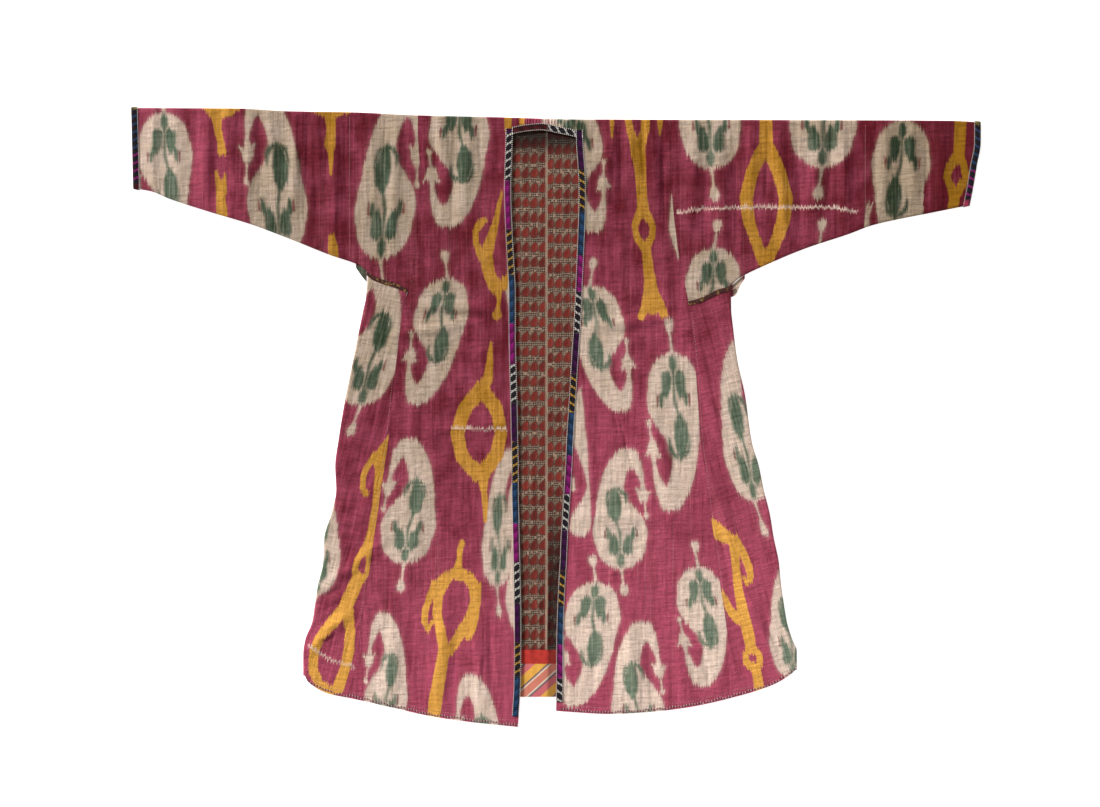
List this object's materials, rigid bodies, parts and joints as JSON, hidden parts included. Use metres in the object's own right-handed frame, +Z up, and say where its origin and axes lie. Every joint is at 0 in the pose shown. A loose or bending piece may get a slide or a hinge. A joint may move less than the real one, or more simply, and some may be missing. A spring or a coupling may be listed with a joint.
{
  "type": "uzbek chapan robe",
  "caption": "Long-sleeved ikat robe with an open front, side gores and braided edges, laid flat with its front up.",
  "frame": {"origin": "centre of the robe's outline, on the surface it lies on", "axes": "+X towards the wearer's left sleeve, +Y towards the neck, +Z up out of the front"},
  "size_m": [1.7, 1.24, 0.0095],
  "materials": {
    "ikat": "woven",
    "printed_lining": "matte",
    "red_cotton": "matte",
    "striped_cotton": "matte",
    "silk_braid": "woven",
    "dark_edging": "matte"
  },
  "bodies": {
    "root": {"body_right": "ikat", "body_left": "ikat", "gore_right": "ikat", "gore_left": "ikat", "sleeve_upper_right": "ikat", "sleeve_lower_right": "ikat", "sleeve_upper_left": "ikat", "sleeve_lower_left": "ikat", "gusset_right": "ikat", "gusset_left": "ikat", "lining_right": "printed_lining", "lining_left": "printed_lining", "hem_band": "red_cotton", "hem_facing": "striped_cotton", "front_braid_right": "silk_braid", "front_braid_left": "silk_braid", "neck_braid": "silk_braid", "cuff_braid_right": "silk_braid", "cuff_braid_left": "silk_braid", "slit_edging_right": "dark_edging", "slit_edging_left": "dark_edging"}
  },
  "joints": []
}
